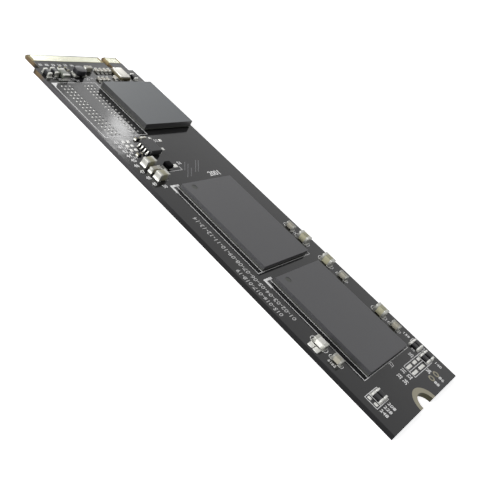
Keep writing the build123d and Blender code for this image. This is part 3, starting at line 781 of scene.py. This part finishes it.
class DRIVE_OT_lands(bpy.types.Operator):
    """Lay tinned lands, round pads and test rings"""

    bl_idname = "drive.lands"
    bl_label = "Lands, pads and test rings"

    def execute(self, context):
        sizes, colours = settings(context)
        tinned = metal("levelled_tin_on_copper", colours.land, rough=0.42, grain=0.15, share=0.8)
        fresh = metal("fresh_tin_on_copper", colours.fresh, rough=0.5, grain=0.15, share=0.5)
        dull = metal("tarnished_tin_on_copper", colours.ring, rough=0.5, grain=0.2, share=0.8)
        roll_blocks("fitted_lands", "part_lands", tinned, "tinned_lands", roll=0.02, corner=0.05,
                    foot=False)
        roll_blocks("spare_lands", "bare_lands", fresh, "tinned_lands", roll=0.04, corner=0.07,
                    foot=False, crown=sizes.land_crown)
        low, high = solid_boxes("dram_pads")
        tall = (high - low)[0, 2] + sizes.pad_crown
        add_piece("memory_pads", round_rings(*seats(low, high), tall, PAD_DOME), tinned,
                  ["dram_pads"])
        rings = half_round_rings(*seats(*solid_boxes("test_points")), sizes.ring_rise)
        add_piece("test_rings", rings, dull, ["test_points"], wrap=True)
        return {"FINISHED"}


class DRIVE_OT_packages(bpy.types.Operator):
    """Finish the controller and the flash packages and set their solder balls"""

    bl_idname = "drive.packages"
    bl_label = "Controller and flash packages"

    def execute(self, context):
        colours = context.scene.drive_colours
        finish_solid(FLASH_CAPS, moulding(
            "flash_moulding_compound", colours.flash, rough=0.5, sheen=0.66))
        # The controller's sides take a darker tint under its top: painted shade
        finish_solid(["controller_cap"], moulding(
            "controller_moulding_compound", colours.controller, rough=0.46, sheen=0.7,
            sides=colours.cast, top=top_of("controller_cap")))
        finish_solid(["flash_a_substrate", "flash_b_substrate", "controller_substrate"],
                     moulding("sawn_package_laminate", colours.laminate, rough=0.6))
        floors, radii = zip(*(top_pocket(name) for name in FLASH_CAPS))
        add_piece("ejector_marks",
                  round_rings(np.array(floors), radii[0], EJECTOR_RISE, MARK_DISC),
                  moulding("polished_ejector_mark", colours.laminate, rough=0.5, sheen=0.42))
        low, high = joined(solid_boxes(name) for name in BALL_NODES)
        gap = (high - low)[0, 2]
        add_piece("solder_balls", round_rings(*seats(low, high), gap, BALL_BARREL),
                  metal("reflowed_solder", colours.tin, rough=0.3, grain=0.1),
                  BALL_NODES)
        return {"FINISHED"}


class DRIVE_OT_regulator(bpy.types.Operator):
    """Finish the regulator's body and bend its leads"""

    bl_idname = "drive.regulator"
    bl_label = "Regulator"

    def execute(self, context):
        sizes, colours = settings(context)
        finish_solid(["regulator_body"], moulding(
            "regulator_moulding_compound", colours.regulator, rough=0.5, sheen=0.36))
        low, high = solid_boxes("regulator_leads")
        middle = (low + high)[:, 1].mean() / 2
        plated = metal("tin_plated_copper_leads", colours.tin, rough=0.4, grain=0.1, share=0.8)
        add_piece("bent_leads", lead_rings(low, high, middle, sizes.lead_thickness), plated,
                  ["regulator_leads"], sharp=35)
        return {"FINISHED"}


class DRIVE_OT_crystal(bpy.types.Operator):
    """Finish the crystal's base and press its lid"""

    bl_idname = "drive.crystal"
    bl_label = "Crystal"

    def execute(self, context):
        sizes, colours = settings(context)
        finish_solid(["crystal_base"], ceramic(
            "pressed_alumina", colours.crystal, rough=0.5, ior=1.6))
        plated = metal("nickel_plated_lid", colours.lid, rough=0.36, grain=0.25, depth=0.004)
        roll_blocks("pressed_lid", "crystal_lid", plated, "crystal_lid_metal",
                    roll=sizes.lid_roll, corner=0.28, foot=False)
        return {"FINISHED"}


class DRIVE_OT_chokes(bpy.types.Operator):
    """Mould the chokes and tin their tabs"""

    bl_idname = "drive.chokes"
    bl_label = "Chokes"

    def execute(self, context):
        sizes, colours = settings(context)
        moulded = moulding("moulded_ferrite", colours.choke, rough=0.42, sheen=0.35)
        pressed = moulding("pressed_ferrite", colours.ferrite, rough=0.6, sheen=0.02)
        tinned = metal("tinned_choke_tabs", colours.tin, rough=0.42, grain=0.15, depth=0.004,
                       share=0.8)
        roll_blocks("large_choke_block", "choke_a_body", moulded, "ferrite_moulding",
                    roll=sizes.choke_roll, corner=0.5)
        roll_blocks("small_choke_block", "choke_b_body", pressed, "ferrite_moulding",
                    roll=sizes.choke_roll, corner=0.2)
        roll_blocks("choke_feet", "choke_tabs", tinned, "tinned_leads", roll=0.05, corner=0.1)
        return {"FINISHED"}


class DRIVE_OT_chips(bpy.types.Operator):
    """Make the chips' bodies and dipped ends, and the solder that holds them"""

    bl_idname = "drive.chips"
    bl_label = "Capacitors, resistors and beads"

    def execute(self, context):
        sizes, colours = settings(context)
        ceramics = {shade: ceramic(f"{shade}_fired_ceramic", getattr(colours, shade), rough=0.42,
                                   ior=1.55) for shade in dict.fromkeys(CHIPS.values())}
        tinned = metal("tin_plated_ends", colours.tin, rough=0.45, grain=0.12, share=0.75)
        bright = metal("bright_tin_plated_ends", colours.fresh, rough=0.5, grain=0.12, share=0.5)
        dull = metal("tarnished_tin_ends", colours.ring, rough=0.5, grain=0.12, share=0.75)
        # Painted shade: the large bead's end faces below the top take the bead's dark colour
        grey = metal("oxidised_bead_ends", colours.tin, rough=0.5, grain=0.12, share=0.6,
                     sides=colours.bead, top=top_of("large_bead_ends") - sizes.end_roll)
        # Painted shade: the small capacitors' end tops take a darker tin than their sides
        painted_top_shade = metal("scuffed_tin_ends", colours.painted_top_shade, rough=0.45, grain=0.12, share=0.75,
                     sides=colours.tin, top=top_of("small_cap_ends") - sizes.end_roll)
        platings = {"resistor": bright, "small_resistor": dull, "large_bead": grey,
                    "small_cap": painted_top_shade}
        most_roll, corner_rolls = 0.16, 1.2
        ends = []
        for family, shade in CHIPS.items():
            slot = "dark_ceramic" if shade in ("dark", "bead") else "capacitor_ceramic"
            roll_blocks(f"{family}_ceramic", f"{family}_bodies", ceramics[shade], slot,
                        roll=sizes.body_roll, corner=0.04)
            low, high = solid_boxes(f"{family}_ends")
            roll = min(sizes.end_roll, most_roll * (high - low)[0, 2])
            roll_blocks(f"{family}_tin", f"{family}_ends", platings.get(family, tinned),
                        "tinned_ends", roll=roll, corner=corner_rolls * roll)
            ends.append((low, high))
        fillets = fillet_rings(joined(ends), solid_boxes("part_lands"), sizes.fillet_share)
        add_piece("solder_fillets", fillets, metal(
            "solder_fillets", colours.tin, rough=0.4, grain=0.2, share=0.75),
            sharp=50)
        return {"FINISHED"}


class DRIVE_OT_legend(bpy.types.Operator):
    """Print the legend's lines and its plain part numbers"""

    bl_idname = "drive.legend"
    bl_label = "Printed legend"

    def execute(self, context):
        sizes, colours = settings(context)
        thick = printed_ink("thick_white_legend_ink", colours.ink, rough=0.35, ior=2.0)
        thin = printed_ink("thin_white_legend_ink", colours.thin_ink, rough=0.3, ior=1.8)
        faint = printed_ink("faint_white_legend_ink", colours.faint_ink)
        finish_solid(["legend"], thin)
        corner = np.array([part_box(name)[0] for name in FLASH_CAPS])[:, :2] / MM
        corner -= [sizes.mark_back, sizes.mark_gap]
        bend = np.stack([corner + [sizes.mark_along, 0], corner,
                         corner + [0, sizes.mark_across]], 1)
        marks = strip_rings(bend, sizes.mark_line, BOARD_TOP + sizes.print_thickness,
                            CORNER_MARK_RISE)
        add_piece("corner_marks", marks, thick, sharp=20)
        print_numbers("printed_numbers", number_places(sizes.number_height), thick,
                      sizes.print_thickness, BOLD)
        rows = [("-".join(f"{k:02d}" for k in range(1, 15)), 50.6, -8.65, LEFT, 0.8),
                ("015-016-017-018-19", 55.15, -10.15, LEFT, 0.76)]
        print_numbers("printed_rows", rows, faint, sizes.print_thickness, LIGHT)
        return {"FINISHED"}


def lay_floor(scene, material, around=64):
    """A round floor under the drive: flat rings joined by bands of quads, the innermost closed."""
    profile = [(0.0, radius) for radius in FLOOR_RADII]
    disc = round_rings(np.array([[0.0, 0.0, -FLOOR_DROP]]), 1.0, 0.0, profile, around)
    index = np.arange(disc.size // 3).reshape(-1, around)
    inner, outer = index[:-1], index[1:]
    band = np.stack([inner, outer, np.roll(outer, -1, 1), np.roll(inner, -1, 1)], -1)
    data = bpy.data.meshes.new("studio_floor")
    data.from_pydata(disc.reshape(-1, 3) * MM, [],
                     band.reshape(-1, 4).tolist() + [index[0].tolist()])
    data.materials.append(material)
    floor = bpy.data.objects.new("studio_floor", data)
    scene.collection.objects.link(floor)


def light_sky(scene):
    """A sky that is white where it is seen or mirrored, and dimmer as a light."""
    world = bpy.data.worlds.new("studio_sky")
    world.use_nodes = True
    tree = world.node_tree
    tree.nodes.clear()
    seen = seen_rays(tree)[1]
    strength = add_node(tree, "ShaderNodeMapRange",
                        {"Value": seen, "To Min": scene.drive_studio.sky, "To Max": 1.0})
    back = add_node(tree, "ShaderNodeBackground",
                    {"Color": WHITE, "Strength": strength.outputs[0]})
    add_node(tree, "ShaderNodeOutputWorld", {"Surface": back.outputs[0]})
    scene.world = world


def stand(scene, data, place, turn):
    """Puts a lamp or camera at its place, turned by a quaternion."""
    made = bpy.data.objects.new(data.name, data)
    made.location = place
    made.rotation_mode = "QUATERNION"
    made.rotation_quaternion = turn
    scene.collection.objects.link(made)
    return made


def hang_lamps(scene):
    """Round lamps at their places, all facing one point of the board."""
    for name, (width, place) in LAMPS.items():
        light = bpy.data.lights.new(f"{name}_lamp", "AREA")
        light.shape = "DISK"
        light.size = width
        light.energy = getattr(scene.drive_studio, name)
        aim = Vector(LAMP_AIM) - Vector(place)
        stand(scene, light, place, aim.to_track_quat("-Z", "Y"))


def set_camera(scene):
    """The camera at the photograph's place."""
    lens = bpy.data.cameras.new("photo_camera")
    lens.sensor_width = SENSOR
    lens.lens = FOCAL_LENGTH
    lens.clip_start = 0.005
    lens.clip_end = 20.0
    scene.camera = stand(scene, lens, CAMERA_PLACE, CAMERA_TURN)


class DRIVE_OT_stage(bpy.types.Operator):
    """Set the pale floor, the soft light and the camera"""

    bl_idname = "drive.stage"
    bl_label = "Studio"

    def execute(self, context):
        scene = context.scene
        scene.view_settings.view_transform = "Standard"
        lay_floor(scene, white_sweep(scene.drive_colours, scene.drive_studio))
        light_sky(scene)
        hang_lamps(scene)
        set_camera(scene)
        return {"FINISHED"}


class DRIVE_PT_panel(bpy.types.Panel):
    """Lists the drive's pieces, sizes and colours"""

    bl_idname = "DRIVE_PT_panel"
    bl_label = "Bare M.2 drive"
    bl_space_type = "VIEW_3D"
    bl_region_type = "UI"
    bl_category = "Drive"

    def draw(self, context):
        for step in STEPS:
            self.layout.operator(step.bl_idname)
        for held in GROUPS:
            group, box = getattr(context.scene, held), self.layout.box()
            for name in group.__annotations__:
                box.prop(group, name)


GROUPS = {"drive_sizes": DriveSizes, "drive_colours": DriveColours, "drive_studio": DriveStudio}
STEPS = (DRIVE_OT_board, DRIVE_OT_plating, DRIVE_OT_lands, DRIVE_OT_packages, DRIVE_OT_regulator,
         DRIVE_OT_crystal, DRIVE_OT_chokes, DRIVE_OT_chips, DRIVE_OT_legend, DRIVE_OT_stage)
CLASSES = (*GROUPS.values(), *STEPS, DRIVE_PT_panel)


def register():
    """Adds the classes and hangs their settings on the scene."""
    for kind in CLASSES:
        bpy.utils.register_class(kind)
    for name, group in GROUPS.items():
        setattr(bpy.types.Scene, name, PointerProperty(type=group))


def unregister():
    """Takes the settings and the classes away again."""
    for name in GROUPS:
        delattr(bpy.types.Scene, name)
    for kind in reversed(CLASSES):
        bpy.utils.unregister_class(kind)


def main():
    """Makes the pieces in order."""
    register()
    bpy.ops.drive.board()
    bpy.ops.drive.plating()
    bpy.ops.drive.lands()
    bpy.ops.drive.packages()
    bpy.ops.drive.regulator()
    bpy.ops.drive.crystal()
    bpy.ops.drive.chokes()
    bpy.ops.drive.chips()
    bpy.ops.drive.legend()
    bpy.ops.drive.stage()


if __name__ == "__main__":
    main()
